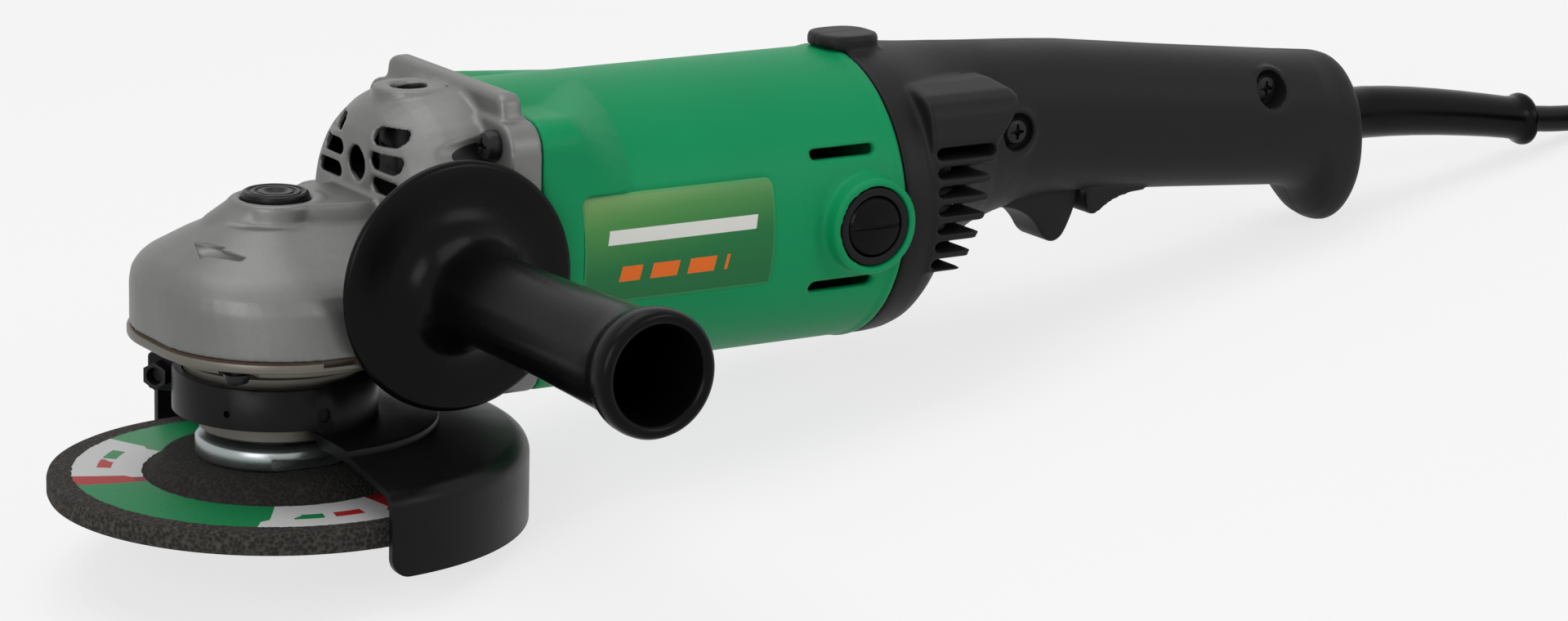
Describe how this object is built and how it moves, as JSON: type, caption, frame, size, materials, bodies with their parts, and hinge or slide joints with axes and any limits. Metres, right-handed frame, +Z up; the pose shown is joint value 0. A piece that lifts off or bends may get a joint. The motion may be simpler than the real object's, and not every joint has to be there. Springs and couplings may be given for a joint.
{
  "type": "angle grinder",
  "caption": "Angle grinder with a depressed-centre wheel, adjustable guard, screw-in side handle, trigger rear handle and coiled mains cord.",
  "frame": {"origin": "middle of the tool's box on the level it rests on, under the guard rim and the handle hook, measured without the free cord and plug", "axes": "+X from the wheel to the rear handle and cord, +Z up, -Y towards the side handle; the tool rests tail down, so its motor axis slopes 9.03 degrees below +X"},
  "size_m": [0.6617, 0.2506, 0.1213],
  "materials": {
    "cast_aluminium": "sand-grey die casting, lightly shot-blasted, satin",
    "machined_aluminium": "machined casting, faintly brushed",
    "black_screw": "black oxide, slight oil sheen",
    "steel": "zinc-plated and ground steel",
    "bearing_steel": "ground bearing steel with black seals",
    "winding_copper": "varnished copper windings on a laminated core",
    "commutator_copper": "turned copper bars",
    "laminated_steel": "stacked laminations, varnished",
    "fan_plastic": "moulded nylon",
    "green_housing_plastic": "fine-textured moulded nylon, satin",
    "printed_label": "printed film, yellow-green to dark green, no text",
    "holder_plastic": "moulded phenolic",
    "brush_carbon": "pressed carbon",
    "guard_black_paint": "semi-gloss black paint on pressed steel",
    "bonded_abrasive": "coarse resin-bonded grit with a printed paper blotter",
    "handle_plastic": "fine-textured black nylon, satin",
    "cord_rubber": "smooth black rubber",
    "blade_brass": "plain brass blades"
  },
  "bodies": {
    "housing": {"gear_housing": "cast_aluminium", "bearing_retainer": "machined_aluminium", "retainer_screw_1": "black_screw", "retainer_screw_2": "black_screw", "retainer_screw_3": "black_screw", "retainer_screw_4": "black_screw", "flange_screw_1": "black_screw", "flange_screw_2": "black_screw", "flange_screw_3": "black_screw", "flange_screw_4": "black_screw", "handle_screw_1": "black_screw", "handle_screw_2": "black_screw", "trigger_pin": "steel", "trigger_spring": "steel", "lock_spring": "steel", "cord_clamp_screw_1": "steel", "cord_clamp_screw_2": "steel", "side_handle_stud": "steel", "spindle_lower_bearing": "bearing_steel", "spindle_upper_bearing": "bearing_steel", "armature_front_bearing": "bearing_steel", "armature_rear_bearing": "bearing_steel", "field_stator": "laminated_steel", "fan_baffle": "fan_plastic", "motor_housing": "green_housing_plastic", "side_label": "printed_label", "brush_holder_left": "holder_plastic", "brush_holder_right": "holder_plastic", "brush_cap_left": "holder_plastic", "brush_cap_right": "holder_plastic", "switch_body": "holder_plastic", "cord_clamp": "holder_plastic", "carbon_brush_left": "brush_carbon", "carbon_brush_right": "brush_carbon", "side_handle": "handle_plastic", "rear_handle_left": "handle_plastic", "rear_handle_right": "handle_plastic", "cord_guard": "cord_rubber", "power_cord": "cord_rubber", "cord_coil": "cord_rubber", "cord_plug_end": "cord_rubber", "plug_body": "cord_rubber", "plug_blade_1": "blade_brass", "plug_blade_2": "blade_brass"},
    "spindle": {"spindle": "steel", "ring_gear": "steel", "wheel_washer": "steel", "grinding_wheel": "bonded_abrasive", "wheel_nut": "steel"},
    "armature": {"armature_shaft": "steel", "armature_core": "winding_copper", "commutator": "commutator_copper", "cooling_fan": "fan_plastic", "pinion": "steel", "pinion_nut": "steel"},
    "guard": {"wheel_guard": "guard_black_paint", "guard_clamp_screw": "black_screw", "guard_clamp_nut": "black_screw"},
    "trigger": {"trigger": "handle_plastic"},
    "lock_button": {"lock_button": "holder_plastic"}
  },
  "joints": [
    {"name": "armature_spin", "type": "hinge", "parent": "housing", "child": "armature", "pos_m": [-0.18482, 0.04023, 0.08403], "axis": [0.9876, 0, -0.157], "continuous": true},
    {"name": "spindle_spin", "type": "hinge", "parent": "housing", "child": "spindle", "pos_m": [-0.18482, 0.04023, 0.08403], "axis": [0.157, 0, 0.9876], "continuous": true},
    {"name": "guard_turn", "type": "hinge", "parent": "housing", "child": "guard", "pos_m": [-0.18482, 0.04023, 0.08403], "axis": [0.157, 0, 0.9876], "range_deg": [-60, 90]},
    {"name": "trigger_pull", "type": "hinge", "parent": "housing", "child": "trigger", "pos_m": [0.04435, 0.04023, 0.04153], "axis": [0, -1, 0], "range_deg": [0, 8], "stiffness_Nm_per_rad": 0.4, "springref_deg": -8.59},
    {"name": "lock_press", "type": "slide", "parent": "housing", "child": "lock_button", "axis": [-0.157, 0, -0.9876], "range_m": [0, 0.0018], "stiffness_N_per_m": 600, "springref_m": -0.003}
  ],
  "couplings": [
    {"joint": "spindle_spin", "follows": "armature_spin", "ratio": 0.32432}
  ]
}
